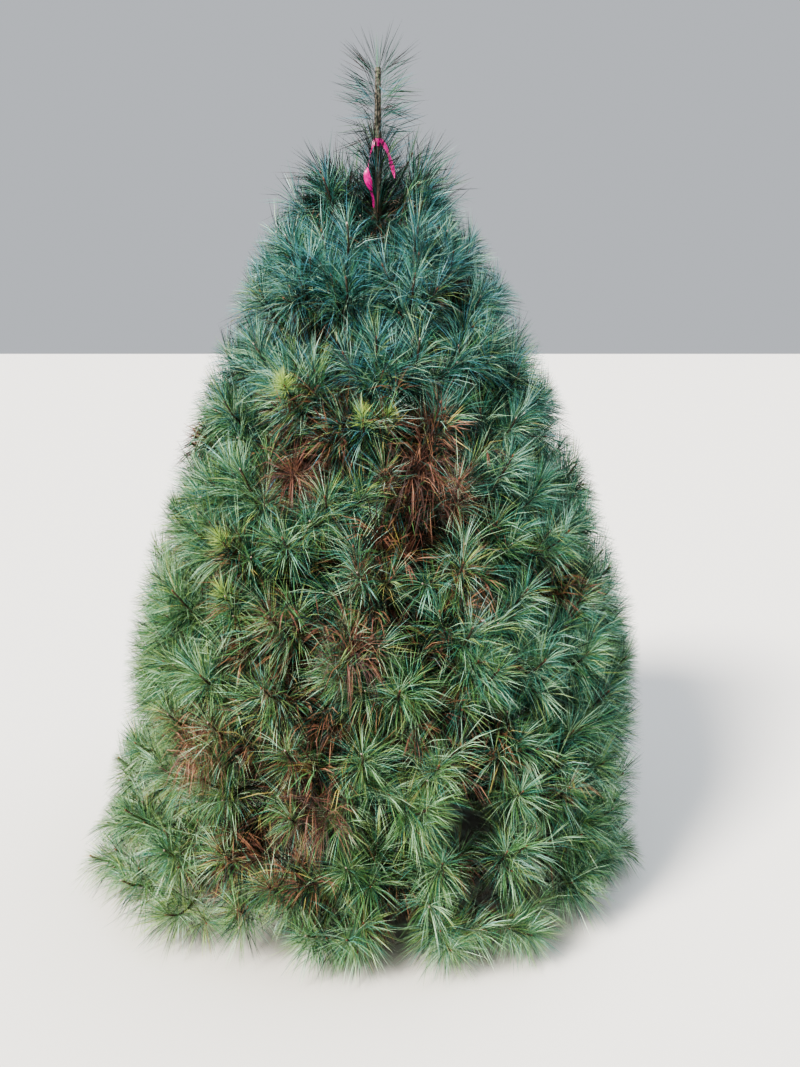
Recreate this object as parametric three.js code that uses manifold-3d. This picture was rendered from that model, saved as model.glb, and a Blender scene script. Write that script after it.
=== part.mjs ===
// Clipped pine tree, rooted in level ground: a whole trunk with its leader, boughs in whorls and masses of
// needles. Sizes are in millimetres and angles in degrees. +Z is up, and the origin is the centre of the
// trunk's flat cut. The crown is shared out in spaces, one for each mass: a sector of one whorl between two
// rising cones.

import * as THREE from 'three';
import { mergeVertices } from 'three/addons/utils/BufferGeometryUtils.js';
import Module from 'manifold-3d';

const wasm = await Module();
wasm.setup();

const seatGap = 0.3; // clearance of a limb from its seat
const spaceGap = 3; // clearance of a mass from the border of its space
const tuftGap = 4; // clearance between two tufts of a mass
const groundGap = 8; // lowest needles above the ground

const trunkHeight = 2240;
const trunkRadii = [41, 7.5]; // at the ground and at the cut tip of the leader
const trunkFullness = 0.9; // under 1 the trunk thins sooner near the ground
const trunkLean = -0.004; // sideways for each millimetre up
// Slow bends of the trunk, to the side and to the back
const trunkBends = [{ reach: 5, length: 330, start: 0 }, { reach: 4, length: 410, start: 1 }];
const straightFoot = 400; // height that the bends come in over
const trunkSides = 10;
const flare = { radius: 17, height: 50, lobes: 3, depth: 0.13, turn: 0.7 }; // root flare
const swelling = { radius: 3.5, height: 22, fading: 0.6 }; // of the trunk at each whorl, less so near the top
const collarHeight = 32; // trunk ring above and below each whorl

// Height on the trunk, rise of the boughs, their number, direction of the first and whether a bough shows
const whorls = [
  { height: 125, rise: 5, count: 5, turn: 212, bough: true },
  { height: 340, rise: 14, count: 5, turn: 178, bough: true },
  { height: 560, rise: 20, count: 5, turn: 205, bough: true },
  { height: 810, rise: 27, count: 5, turn: 228, bough: true },
  { height: 1100, rise: 35, count: 5, turn: 192, bough: true },
  { height: 1400, rise: 43, count: 4, turn: 225, bough: false },
  { height: 1680, rise: 54, count: 3, turn: 170, bough: false },
];
const whorlJitter = 6; // degrees that a bough may stand off its even place
const leaderSpace = { height: 1840, rise: 64 }; // cone under the leader's own needles

// Reach of the crown from the trunk's axis at some heights: to the left, to the right, and to front and back
const crownReach = [
  [0, 915, 810, 730],
  [120, 840, 770, 750],
  [400, 800, 788, 780],
  [800, 736, 743, 740],
  [1200, 604, 593, 600],
  [1600, 437, 413, 430],
  [1850, 325, 262, 290],
  [2020, 190, 168, 180],
  [2120, 95, 90, 95],
];
const widestReach = 1300; // further out than any part of the crown

// Low boughs that reach out further, at the left and at the right of the front: direction, half of
// their spread in degrees, added reach at the ground, and height at which it has faded out
const lowReaches = [
  { turn: 214, spread: 26, reach: 115, height: 420 },
  { turn: 316, spread: 26, reach: 60, height: 420 },
];

// Shares of the way out from the trunk's axis to the crown's face where a bough begins and enters its mass
const boughStart = 0.03;
const boughEnd = 0.46;
const boughRadii = [12.5, 12, 11.5, 10.5, 9.5, 8.5, 6.5]; // at the trunk, for each whorl
const boughTaper = 0.52; // radius at the bough's end as a share of that at the trunk
const boughSag = 14;
const boughSides = 5;

const stemEnd = 0.8; // share of the way out where a mass's stem ends
const stemTaper = 0.34; // radius there as a share of the bough's at the trunk
const twigRadii = [5.5, 4.2]; // at the stem and at the tuft
const twigRoots = [0.74, 0.53]; // share of the way out where the middle and outermost twigs leave the stem

const shootSpacing = 196;
const shootJitter = 0.26; // of the spacing
const shootMargin = 0.06; // of the height of a space, kept free at its floor and roof
const shootDepth = [58, 100]; // from the crown's face in to the heart of a tuft
const shootRise = 17; // a shoot rises by this much more than its bough
const shootFan = 16; // and by this much more at the roof of its space than at the floor
const shootTilt = 12; // degrees that a shoot may tilt up or down
const shootYaw = 10; // and to either side
const shootHeading = 0.12; // share of the turn from straight out to the bough's own direction

const needleLength = [108, 132];
const needleCount = 6; // needles of a tuft, larger than life
const needleSpread = [40, 76]; // angles of every other needle from its shoot
const tuftHeart = { ahead: 26, behind: 34, valley: 0.34 }; // valley is the share left between two needles

const coreDepth = 112; // from the crown's face in to a core
// For each whorl, the share of the way out where a core begins, and of its space's width and height it fills
const coreStart = [0.5, 0.5, 0.5, 0.5, 0.51, 0.38, 0.36];
const coreFullness = [0.95, 0.99, 0.99, 0.99, 0.97, 0.88, 0.7];
const coreRings = [[0.04, 0.55], [0.3, 0.9], [0.78, 0.97], [0.96, 0.74]]; // place and fullness of each
const coreSides = 8;
const coreSquareness = 0.6; // between a round section at 0 and a square one at 1
const coreRoughness = 0.07;

const leaderSleeve = { bottom: 1925, top: 2232, thickness: 5, sides: 6 };
const leaderNeedles = { count: 24, radius: 4.4, length: [116, 140], rise: [20, 80], tilt: 13, turn: 137.5 };
const leaderReach = 122;
const leaderTop = 2346;

const barkColour = 0x5a4b40;
const massColours = [0x5d7a36, 0x4d7440, 0x41704a, 0x3f6f4c, 0x406c52, 0x466f58, 0x4a7358]; // by whorl
const leaderColour = 0x557a5c;
const barkRoughness = 0.9;
const needleRoughness = 0.6;

const radians = Math.PI / 180;
const mix = THREE.MathUtils.lerp;
const up = new THREE.Vector3(0, 0, 1);
const forward = new THREE.Vector3(0, -1, 0);

// Even draws between 0 and 1 from a whole number
function seeded(seed) {
  let state = (seed * 7919 + 12345) >>> 0;
  return () => {
    state = (Math.imul(state, 1664525) + 1013904223) >>> 0;
    return state / 4294967296;
  };
}

function toSolid(geometry) {
  const bare = geometry.clone();
  bare.deleteAttribute('normal');
  bare.deleteAttribute('uv');
  const merged = mergeVertices(bare);
  return new wasm.Manifold(new wasm.Mesh({
    numProp: 3,
    vertProperties: new Float32Array(merged.attributes.position.array),
    triVerts: new Uint32Array(merged.index.array),
  }));
}

function toGeometry(solid) {
  const mesh = solid.getMesh();
  const geometry = new THREE.BufferGeometry();
  geometry.setAttribute('position', new THREE.BufferAttribute(new Float32Array(mesh.vertProperties), 3));
  geometry.setIndex(new THREE.BufferAttribute(new Uint32Array(mesh.triVerts), 1));
  geometry.computeVertexNormals();
  return geometry;
}

function geometryFrom(points, faces) {
  const geometry = new THREE.BufferGeometry();
  const places = points.flatMap((point) => point.toArray());
  geometry.setAttribute('position', new THREE.Float32BufferAttribute(places, 3));
  geometry.setIndex(faces.flat());
  return geometry;
}

// Closed tube through rings of equal number of points, with flat ends
function tubeThrough(rings) {
  const sides = rings[0].length;
  const faces = [];
  for (let ring = 0; ring + 1 < rings.length; ring += 1) {
    for (let side = 0; side < sides; side += 1) {
      const next = (side + 1) % sides;
      const low = ring * sides;
      const high = low + sides;
      faces.push([low + side, low + next, high + next], [low + side, high + next, high + side]);
    }
  }
  const last = (rings.length - 1) * sides;
  for (let side = 1; side + 1 < sides; side += 1) {
    faces.push([0, side + 1, side], [last, last + side, last + side + 1]);
  }
  return geometryFrom(rings.flat(), faces);
}

// Ring of points square to a direction
function ringAround(centre, along, radius, sides, phase = 0) {
  const across = new THREE.Vector3().crossVectors(along, Math.abs(along.z) > 0.95 ? forward : up).normalize();
  const over = new THREE.Vector3().crossVectors(along, across);
  return Array.from({ length: sides }, (_, side) => {
    const angle = phase + (2 * Math.PI * side) / sides;
    return centre.clone()
      .addScaledVector(across, Math.cos(angle) * radius)
      .addScaledVector(over, Math.sin(angle) * radius);
  });
}

function trunkCentre(z) {
  const grown = Math.min(1, z / straightFoot);
  const [sideways, back] = trunkBends.map((bend) => bend.reach * Math.sin(z / bend.length + bend.start));
  return new THREE.Vector3(trunkLean * z + sideways * grown, back * grown, z);
}

function trunkRadius(z) {
  const share = z / trunkHeight;
  const taper = mix(trunkRadii[0], trunkRadii[1], share ** trunkFullness);
  const nearness = whorls
    .map((whorl) => Math.exp(-(((z - whorl.height) / swelling.height) ** 2)))
    .reduce((sum, each) => sum + each, 0);
  return taper
    + flare.radius * Math.exp(-z / flare.height)
    + swelling.radius * nearness * (1 - swelling.fading * share);
}

// Trunk from its flat cut to the cut tip of the leader, grown by some clearance where it is used as a cutter
function trunkSolid(grow) {
  const collars = whorls.flatMap(({ height }) => [height - collarHeight, height, height + collarHeight]);
  const heights = [0, 18, 48, ...collars, trunkHeight].sort((low, high) => low - high);
  const rings = heights.map((z, place) => {
    const centre = trunkCentre(z);
    const rim = trunkRadius(z) + grow / Math.cos(Math.PI / trunkSides);
    const ends = [place === 0, place === heights.length - 1];
    const level = z - (ends[0] ? grow : 0) + (ends[1] ? grow : 0);
    return Array.from({ length: trunkSides }, (_, side) => {
      const angle = (2 * Math.PI * side) / trunkSides;
      const root = 1 + flare.depth * Math.cos(flare.lobes * angle + flare.turn) * Math.exp(-z / flare.height);
      const [x, y] = [Math.cos(angle), Math.sin(angle)].map((along) => along * rim * root);
      return new THREE.Vector3(centre.x + x, centre.y + y, level);
    });
  });
  return toSolid(tubeThrough(rings));
}

// Reach of the crown in one direction at one height
function reachAt(z, angle) {
  let row = 0;
  while (row + 2 < crownReach.length && z > crownReach[row + 1][0]) {
    row += 1;
  }
  const [low, high] = [crownReach[row], crownReach[row + 1]];
  const share = (z - low[0]) / (high[0] - low[0]);
  const side = Math.cos(angle) < 0 ? 1 : 2;
  const along = Math.cos(angle) ** 2;
  const even = mix(mix(low[3], high[3], share), mix(low[side], high[side], share), along);
  const added = lowReaches
    .map(({ turn, spread, reach, height }) => {
      const off = THREE.MathUtils.euclideanModulo(angle / radians - turn + 180, 360) - 180;
      return reach * Math.exp(-((off / spread) ** 2)) * THREE.MathUtils.clamp(1 - z / height, 0, 1);
    })
    .reduce((sum, each) => sum + each, 0);
  return Math.max(0, even + added);
}

// Rising line of a space at one level: 0 is its floor, 0.5 its bough and 1 its roof
function lineAt(space, level) {
  const [from, to, share] = level < 0.5
    ? [space.floor, space.middle, level * 2]
    : [space.middle, space.roof, level * 2 - 1];
  return { height: mix(from.height, to.height, share), slope: mix(from.slope, to.slope, share) };
}

// Distance from the axis where the rising line of a level meets the crown's face
function faceDistance(space, level, angle) {
  const line = lineAt(space, level);
  let [near, far] = [0, widestReach];
  for (let step = 0; step < 26; step += 1) {
    const middle = (near + far) / 2;
    if (middle < reachAt(line.height + middle * line.slope, angle)) {
      near = middle;
    } else {
      far = middle;
    }
  }
  return near;
}

// Point of a space: level between floor and roof, direction, and share of the way from the axis to the face
function pointIn(space, level, angle, share) {
  const line = lineAt(space, level);
  const distance = faceDistance(space, level, angle) * share;
  const height = line.height + distance * line.slope;
  return new THREE.Vector3(distance * Math.cos(angle), distance * Math.sin(angle), height);
}

function isInside(space, point) {
  const distance = Math.hypot(point.x, point.y);
  const turn = Math.atan2(point.y, point.x);
  const fromStart = THREE.MathUtils.euclideanModulo(turn - space.start, 2 * Math.PI);
  const fromEnd = space.width - fromStart;
  const floor = space.floor.height + distance * space.floor.slope;
  const roof = space.roof.height + distance * space.roof.slope;
  return fromEnd > 0
    && distance * Math.sin(Math.min(fromStart, Math.PI / 2)) > spaceGap
    && distance * Math.sin(Math.min(fromEnd, Math.PI / 2)) > spaceGap
    && (point.z - floor) * space.floor.flat > spaceGap
    && (roof - point.z) * space.roof.flat > spaceGap
    && point.z > groundGap
    && distance <= reachAt(point.z, turn);
}

// Length along a direction, up to the wanted one, within the space and short of the tufts beside it
function lengthInside(space, from, direction, wanted, neighbours) {
  let length = wanted;
  const isFree = () => {
    const tip = from.clone().addScaledVector(direction, length);
    return isInside(space, tip) && neighbours.every((heart) => heart.distanceTo(tip) > length + tuftGap);
  };
  while (length > 0 && !isFree()) {
    length -= wanted / 24;
  }
  return length;
}

function coneAt(height, rise) {
  const slope = Math.tan(rise * radians);
  return { height, slope, flat: Math.cos(rise * radians) };
}

function coneBetween(low, high) {
  return coneAt((low.height + high.height) / 2, (low.rise + high.rise) / 2);
}

// Spaces of all masses, whorl by whorl
function spacesOf() {
  const spaces = [];
  whorls.forEach((whorl, place) => {
    const floor = place > 0 ? coneBetween(whorls[place - 1], whorl) : coneAt(0, 0);
    const roof = place + 1 < whorls.length
      ? coneBetween(whorl, whorls[place + 1])
      : coneAt(leaderSpace.height, leaderSpace.rise);
    const draw = seeded(place + 1);
    const step = 360 / whorl.count;
    const turns = Array.from({ length: whorl.count }, (_, index) => (
      whorl.turn + index * step + (draw() * 2 - 1) * whorlJitter
    ));
    turns.forEach((turn, index) => {
      const before = index > 0 ? turns[index - 1] : turns[turns.length - 1] - 360;
      const after = index + 1 < turns.length ? turns[index + 1] : turns[0] + 360;
      const start = ((before + turn) / 2) * radians;
      spaces.push({
        whorl: place,
        letter: 'abcde'[index],
        seed: 100 + place * 10 + index,
        angle: turn * radians,
        start,
        width: ((turn + after) / 2) * radians - start,
        floor,
        middle: coneAt(whorl.height, whorl.rise),
        roof,
      });
    });
  });
  return spaces;
}

// Centre line of a bough and of the stem that goes on from it, by share of the way out
function limbPoint(space, share) {
  const point = pointIn(space, 0.5, space.angle, share);
  const base = trunkCentre(space.middle.height);
  const left = Math.max(0, 1 - share / boughEnd);
  point.z -= boughSag * Math.sin(Math.PI * Math.min(1, share / stemEnd));
  point.x += base.x * left;
  point.y += base.y * left;
  return point;
}

function limbRadius(space, share) {
  const thick = boughRadii[space.whorl];
  return share < boughEnd
    ? mix(thick, thick * boughTaper, share / boughEnd)
    : mix(thick * boughTaper, thick * stemTaper, (share - boughEnd) / (stemEnd - boughEnd));
}

// Limb between two shares of the way out, its first face set on by some clearance
function limbBetween(space, from, to, steps, clearance) {
  const rings = [];
  for (let step = 0; step <= steps; step += 1) {
    const share = mix(from, to, step / steps);
    const along = limbPoint(space, share + 0.01).sub(limbPoint(space, share - 0.01)).normalize();
    const centre = limbPoint(space, share).addScaledVector(along, step === 0 ? clearance : 0);
    rings.push(ringAround(centre, along, limbRadius(space, share), boughSides));
  }
  return toSolid(tubeThrough(rings));
}

// Direction for a heading round the trunk and a rise, both in radians
function directionOf(heading, rise) {
  return new THREE.Vector3(
    Math.cos(heading) * Math.cos(rise),
    Math.sin(heading) * Math.cos(rise),
    Math.sin(rise),
  );
}

// Shoots of a mass: a jittered lattice over its outer face, each on a twig that leaves the stem further in
function shootsOf(space) {
  const draw = seeded(space.seed);
  const stray = (most) => (draw() * 2 - 1) * most;
  const foot = pointIn(space, 0, space.angle, 1);
  const head = pointIn(space, 1, space.angle, 1);
  const rows = Math.ceil((foot.distanceTo(head) - coreDepth * 0.6) / shootSpacing);
  const shoots = [];
  for (let row = 0; row < rows; row += 1) {
    const level = (row + 0.5) / rows;
    const arc = space.width * faceDistance(space, level, space.angle);
    const columns = Math.max(1, Math.round(arc / shootSpacing));
    for (let column = 0; column < columns; column += 1) {
      const across = (column + 0.5 + stray(shootJitter)) / columns;
      const height = THREE.MathUtils.clamp(level + stray(shootJitter) / rows, shootMargin, 1 - shootMargin);
      const depth = mix(shootDepth[0], shootDepth[1], draw());
      const angle = space.start + space.width * across;
      const heading = mix(angle, space.angle, shootHeading) + stray(shootYaw) * radians;
      const rise = whorls[space.whorl].rise + shootRise + (level - 0.5) * shootFan + stray(shootTilt);
      const axis = directionOf(heading, rise * radians);
      const inward = directionOf(angle, 0).add(axis).normalize();
      const heart = pointIn(space, height, angle, 1).addScaledVector(inward, -depth);
      const root = limbPoint(space, mix(twigRoots[0], twigRoots[1], Math.abs(across - 0.5) * 2));
      shoots.push({ heart, axis, root, phase: draw() * 2 * Math.PI, size: draw() });
    }
  }
  return shoots;
}

// Tuft of needles larger than life on its twig, as one closed body: a star that opens forward round the
// shoot's end and narrows behind to a three-sided twig that is sunk in the stem
function tuftSolid(space, shoot, neighbours) {
  const { heart, axis, phase } = shoot;
  const side = new THREE.Vector3().crossVectors(axis, up).normalize();
  const over = new THREE.Vector3().crossVectors(axis, side);
  const ring = needleCount * 2;
  const middleSpread = (needleSpread[0] + needleSpread[1]) / 2;
  const points = [heart.clone().addScaledVector(axis, tuftHeart.ahead)];
  for (let place = 0; place < ring; place += 1) {
    const turn = phase + (2 * Math.PI * place) / ring;
    const isNeedle = place % 2 === 0;
    const spread = (isNeedle ? needleSpread[(place / 2) % 2] : middleSpread) * radians;
    const direction = axis.clone().multiplyScalar(Math.cos(spread))
      .addScaledVector(side, Math.cos(turn) * Math.sin(spread))
      .addScaledVector(over, Math.sin(turn) * Math.sin(spread));
    const wanted = mix(needleLength[0], needleLength[1], shoot.size) * (isNeedle ? 1 : tuftHeart.valley);
    const length = lengthInside(space, heart, direction, wanted, neighbours);
    points.push(heart.clone().addScaledVector(direction, length));
  }
  const collar = heart.clone().addScaledVector(axis, -tuftHeart.behind);
  const along = collar.clone().sub(shoot.root).normalize();
  points.push(
    ...ringAround(collar, along, twigRadii[1], 3, phase + Math.PI / 3),
    ...ringAround(shoot.root, along, twigRadii[0], 3, phase + Math.PI / 3),
  );
  const faces = [[ring + 4, ring + 6, ring + 5]];
  const cornerOf = (place) => ring + 1 + Math.floor((place * 3) / ring);
  for (let place = 0; place < ring; place += 1) {
    const next = (place + 1) % ring;
    faces.push([0, place + 1, next + 1], [place + 1, cornerOf(place), next + 1]);
    if (cornerOf(place) !== cornerOf(next)) {
      faces.push([next + 1, cornerOf(place), cornerOf(next)]);
    }
  }
  for (let corner = 0; corner < 3; corner += 1) {
    const [near, beside] = [ring + 1 + corner, ring + 1 + ((corner + 1) % 3)];
    faces.push([near, near + 3, beside + 3], [near, beside + 3, beside]);
  }
  return toSolid(geometryFrom(points, faces));
}

// Dense heart of a clipped mass, smaller than its space, that twigs and tufts stand out of
function coreSolid(space) {
  const draw = seeded(space.seed + 500);
  const inner = coreStart[space.whorl];
  const fullness = coreFullness[space.whorl];
  const placeOf = (across, rise, outward) => {
    const level = 0.5 + 0.5 * rise * fullness;
    const angle = space.angle + spreadTo(space, across * fullness);
    const outer = 1 - (coreDepth * (1 + coreRoughness * draw())) / faceDistance(space, level, angle);
    return pointIn(space, level, angle, mix(inner, Math.max(outer, inner + 0.08), outward));
  };
  const points = [placeOf(0, 0, 0)];
  const faces = [];
  coreRings.forEach(([outward, wide], ring) => {
    for (let side = 0; side < coreSides; side += 1) {
      const turn = (2 * Math.PI * side) / coreSides;
      const [across, rise] = [Math.cos(turn), Math.sin(turn)];
      const corner = mix(1, 1 / Math.max(Math.abs(across), Math.abs(rise)), coreSquareness);
      const rim = wide * corner * (1 - coreRoughness * draw());
      points.push(placeOf(across * rim, rise * rim, outward));
      const next = (side + 1) % coreSides;
      const [here, beside] = [1 + ring * coreSides + side, 1 + ring * coreSides + next];
      if (ring === 0) {
        faces.push([0, beside, here]);
      } else {
        faces.push([here - coreSides, beside - coreSides, beside], [here - coreSides, beside, here]);
      }
    }
  });
  const last = points.length;
  points.push(placeOf(0, 0, 1));
  for (let side = 0; side < coreSides; side += 1) {
    faces.push([last, last - coreSides + side, last - coreSides + ((side + 1) % coreSides)]);
  }
  return toSolid(geometryFrom(points, faces));
}

// Angle off the bough for a share of the sector on either side
function spreadTo(space, share) {
  const before = space.angle - space.start;
  const after = space.width - before;
  return share < 0 ? share * before : share * after;
}

// One body without scraps or sealed hollows
function onePiece(solid) {
  const bodies = solid.decompose();
  const volumes = bodies.map((body) => body.volume());
  return bodies[volumes.indexOf(Math.max(...volumes))];
}

function massSolid(space, trunkCutter, boughCutter) {
  const pieces = [coreSolid(space)];
  pieces.push(boughCutter
    ? limbBetween(space, boughEnd, stemEnd, 2, seatGap)
    : limbBetween(space, boughStart, stemEnd, 2, 0));
  const shoots = shootsOf(space).filter(({ heart, root }) => isInside(space, heart) && isInside(space, root));
  shoots.forEach((shoot) => {
    const neighbours = shoots.filter((other) => other !== shoot).map((other) => other.heart);
    const tuft = tuftSolid(space, shoot, neighbours);
    const touchesLimb = [trunkCutter, boughCutter].some((limb) => limb && limb.intersect(tuft).volume() > 0);
    if (!touchesLimb) {
      pieces.push(tuft);
    }
  });
  const whole = wasm.Manifold.union(pieces);
  return onePiece(boughCutter ? whole : whole.subtract(trunkCutter));
}

// Slim three-sided needle from its root to a point
function spikeSolid(root, tip, radius) {
  const corners = ringAround(root, tip.clone().sub(root).normalize(), radius, 3);
  return toSolid(geometryFrom([...corners, tip], [[0, 2, 1], [0, 1, 3], [1, 2, 3], [2, 0, 3]]));
}

// Needles of the leader: a thin sleeve round it and slim needles that stand out and rise past its tip
function leaderSolid(trunkCutter) {
  const draw = seeded(900);
  const { bottom, top, thickness, sides } = leaderSleeve;
  const sleeve = [bottom, (bottom + top) / 2, top].map((height) => (
    ringAround(trunkCentre(height), up, trunkRadius(height) + thickness, sides)
  ));
  const isOut = (tip) => {
    const distance = Math.hypot(tip.x, tip.y);
    const roof = leaderSpace.height + distance * Math.tan(leaderSpace.rise * radians);
    return distance > leaderReach || tip.z > leaderTop || tip.z < roof + 2 * spaceGap;
  };
  const pieces = [toSolid(tubeThrough(sleeve))];
  for (let index = 0; index < leaderNeedles.count; index += 1) {
    const share = (index + 0.5) / leaderNeedles.count;
    const height = mix(bottom + 18, top - 12, share ** 0.8);
    const heading = index * leaderNeedles.turn * radians + draw();
    const rise = mix(...leaderNeedles.rise, share) + (draw() * 2 - 1) * leaderNeedles.tilt;
    const direction = directionOf(heading, rise * radians);
    const root = trunkCentre(height).addScaledVector(direction, trunkRadius(height) + 1);
    let length = mix(...leaderNeedles.length, draw());
    while (length > 30 && isOut(root.clone().addScaledVector(direction, length))) {
      length -= 4;
    }
    pieces.push(spikeSolid(root, root.clone().addScaledVector(direction, length), leaderNeedles.radius));
  }
  return onePiece(wasm.Manifold.union(pieces).subtract(trunkCutter));
}

function meshOf(name, solid, colour, roughness) {
  const mesh = new THREE.Mesh(
    toGeometry(solid),
    new THREE.MeshStandardMaterial({ color: colour, roughness, metalness: 0 }),
  );
  mesh.name = name;
  return mesh;
}

const tree = new THREE.Group();
tree.name = 'pine_tree';
const trunk = trunkSolid(0);
const trunkCutter = trunkSolid(seatGap);
tree.add(meshOf('trunk', trunk, barkColour, barkRoughness));

const crown = new THREE.Group();
crown.name = 'crown';
tree.add(crown);
spacesOf().forEach((space) => {
  const number = `${space.whorl + 1}${space.letter}`;
  let boughCutter = null;
  if (whorls[space.whorl].bough) {
    const bough = onePiece(limbBetween(space, boughStart, boughEnd, 2, 0).subtract(trunkCutter));
    boughCutter = bough;
    crown.add(meshOf(`bough_${number}`, bough, barkColour, barkRoughness));
  }
  const mass = massSolid(space, trunkCutter, boughCutter);
  crown.add(meshOf(`foliage_${number}`, mass, massColours[space.whorl], needleRoughness));
});
crown.add(meshOf('foliage_leader', leaderSolid(trunkCutter), leaderColour, needleRoughness));

export default tree;
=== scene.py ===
import math

import bpy
import numpy as np
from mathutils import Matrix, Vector, noise


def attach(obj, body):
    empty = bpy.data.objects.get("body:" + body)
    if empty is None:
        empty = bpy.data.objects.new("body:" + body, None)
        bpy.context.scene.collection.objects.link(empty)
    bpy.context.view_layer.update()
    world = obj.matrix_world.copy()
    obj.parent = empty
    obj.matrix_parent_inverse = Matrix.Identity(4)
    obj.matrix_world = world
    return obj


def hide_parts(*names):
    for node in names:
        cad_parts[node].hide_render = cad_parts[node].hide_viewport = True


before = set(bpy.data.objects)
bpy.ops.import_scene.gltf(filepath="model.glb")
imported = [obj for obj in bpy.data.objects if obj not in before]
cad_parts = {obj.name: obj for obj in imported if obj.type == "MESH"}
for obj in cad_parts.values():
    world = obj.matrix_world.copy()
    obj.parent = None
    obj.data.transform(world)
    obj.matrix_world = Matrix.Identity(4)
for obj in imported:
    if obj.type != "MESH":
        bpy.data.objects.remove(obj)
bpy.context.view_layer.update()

chance = np.random.default_rng(2242)
thinning = 1.0  # share of the needles that is grown

# The growth rule works in millimetres, like the solids, and every mesh is scaled to metres as it is made.
metres = 0.001
fullTurn = 2 * math.pi
up = np.array([0, 0, 1.0])


def mix(a, b, share):
    return a + (b - a) * share


def unit(vectors):
    return vectors / np.maximum(np.linalg.norm(vectors, axis=-1, keepdims=True), 1e-9)


def seeded(seed):  # the same even draws as in the solids
    state = (seed * 7919 + 12345) & 0xFFFFFFFF

    def draw():
        nonlocal state
        state = (state * 1664525 + 1013904223) & 0xFFFFFFFF
        return state / 4294967296

    return draw


def directionOf(heading, rise):
    return np.array([
        math.cos(heading) * math.cos(rise),
        math.sin(heading) * math.cos(rise),
        math.sin(rise),
    ])


def bezier(path, t):
    a, b, c = path
    t = np.asarray(t, float)[:, None]
    return (1 - t) ** 2 * a + 2 * t * (1 - t) * b + t ** 2 * c


def bezierHeading(path, t):
    a, b, c = path
    t = np.asarray(t, float)[:, None]
    return unit((1 - t) * (b - a) + t * (c - b))


def frameAlong(headings):  # two directions square to each heading
    reference = np.where(np.abs(headings[:, 2:]) > 0.9, np.array([0, -1.0, 0]), up)
    side = unit(np.cross(headings, reference))
    return side, np.cross(headings, side)


def newMesh(name, points, faces, material):
    mesh = bpy.data.meshes.new(name)
    mesh.vertices.add(len(points))
    mesh.vertices.foreach_set("co", (np.asarray(points) * metres).astype(np.float32).ravel())
    mesh.loops.add(faces.size)
    mesh.loops.foreach_set("vertex_index", faces.astype(np.int32).ravel())
    mesh.polygons.add(len(faces))
    mesh.polygons.foreach_set("loop_start", np.arange(0, faces.size, 3, dtype=np.int32))
    mesh.polygons.foreach_set("use_smooth", np.ones(len(faces), bool))
    mesh.update(calc_edges=True)
    mesh.materials.append(material)
    piece = bpy.data.objects.new(name, mesh)
    bpy.context.scene.collection.objects.link(piece)
    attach(piece, "root")
    return piece


def dress(piece, nodes):
    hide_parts(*nodes)
    return len(piece.data.polygons)


def ringFaces(rings, sides):  # a tube's triangles: rings that follow one another, then its two end points
    start = np.arange(rings - 1)[:, None] * sides
    ring = np.arange(sides)
    near = (start + ring).ravel()
    beside = (start + (ring + 1) % sides).ravel()
    top = (rings - 1) * sides
    ends = rings * sides + np.array([0, 1])
    return np.concatenate([
        np.stack([near, beside, beside + sides], -1),
        np.stack([near, beside + sides, near + sides], -1),
        np.stack([np.full(sides, ends[0]), (ring + 1) % sides, ring], -1),
        np.stack([np.full(sides, ends[1]), top + ring, top + (ring + 1) % sides], -1),
    ])


class Tubes:
    # Gathers round limbs as rings of points, to be joined in one mesh
    def __init__(self, sides):
        self.sides = sides
        self.points = []
        self.faces = []
        self.count = 0

    def add(self, line, radii, bark=None):
        side, over = frameAlong(unit(np.gradient(line, axis=0)))
        turns = np.linspace(0, fullTurn, self.sides, endpoint=False)
        outward = np.cos(turns)[None, :, None] * side[:, None] + np.sin(turns)[None, :, None] * over[:, None]
        thick = np.repeat(np.asarray(radii, float)[:, None], self.sides, 1)
        places = line[:, None] + outward * thick[..., None]
        if bark:
            relief, grain = bark
            bumps = np.array([noise.noise(Vector(place / grain)) for place in places.reshape(-1, 3)])
            places = places + outward * (relief * bumps.reshape(thick.shape))[..., None]
        self.faces.append(ringFaces(len(line), self.sides) + self.count)
        self.points += [places.reshape(-1, 3), line[[0, -1]]]
        self.count += len(line) * self.sides + 2

    def along(self, path, steps, radii):
        self.add(bezier(path, np.linspace(0, 1, steps)), np.linspace(*radii, steps))

    def make(self, name, material):
        return newMesh(name, np.concatenate(self.points), np.concatenate(self.faces), material)


def hexColour(code):  # sRGB to the linear values that the shader works in
    parts = [int(code[i:i + 2], 16) / 255 for i in (1, 3, 5)]
    return tuple(c / 12.92 if c <= 0.04045 else ((c + 0.055) / 1.055) ** 2.4 for c in parts) + (1,)


def perMetre(millimetres):  # scale of a pattern whose features are so far apart
    return 1 / (millimetres * metres)


def addNode(tree, kind, settings=None, links=None):
    node = tree.nodes.new(kind)
    for key, value in (settings or {}).items():
        if key == "stops":
            for stop, (position, colour) in zip(node.color_ramp.elements, value):
                stop.position = position
                stop.color = hexColour(colour)
        else:
            node.inputs[key].default_value = value
    for key, source in (links or {}).items():
        tree.links.new(source, node.inputs[key])
    return node


def newMaterial(name, finish):
    material = bpy.data.materials.new(name)
    material.use_nodes = True
    shader = material.node_tree.nodes["Principled BSDF"]
    for socket, value in finish.items():
        shader.inputs[socket].default_value = value
    return material, material.node_tree, shader


def plain(name, colour, finish):
    material, _, shader = newMaterial(name, finish)
    shader.inputs["Base Color"].default_value = hexColour(colour)
    material.diffuse_color = hexColour(colour)
    return material


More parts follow.
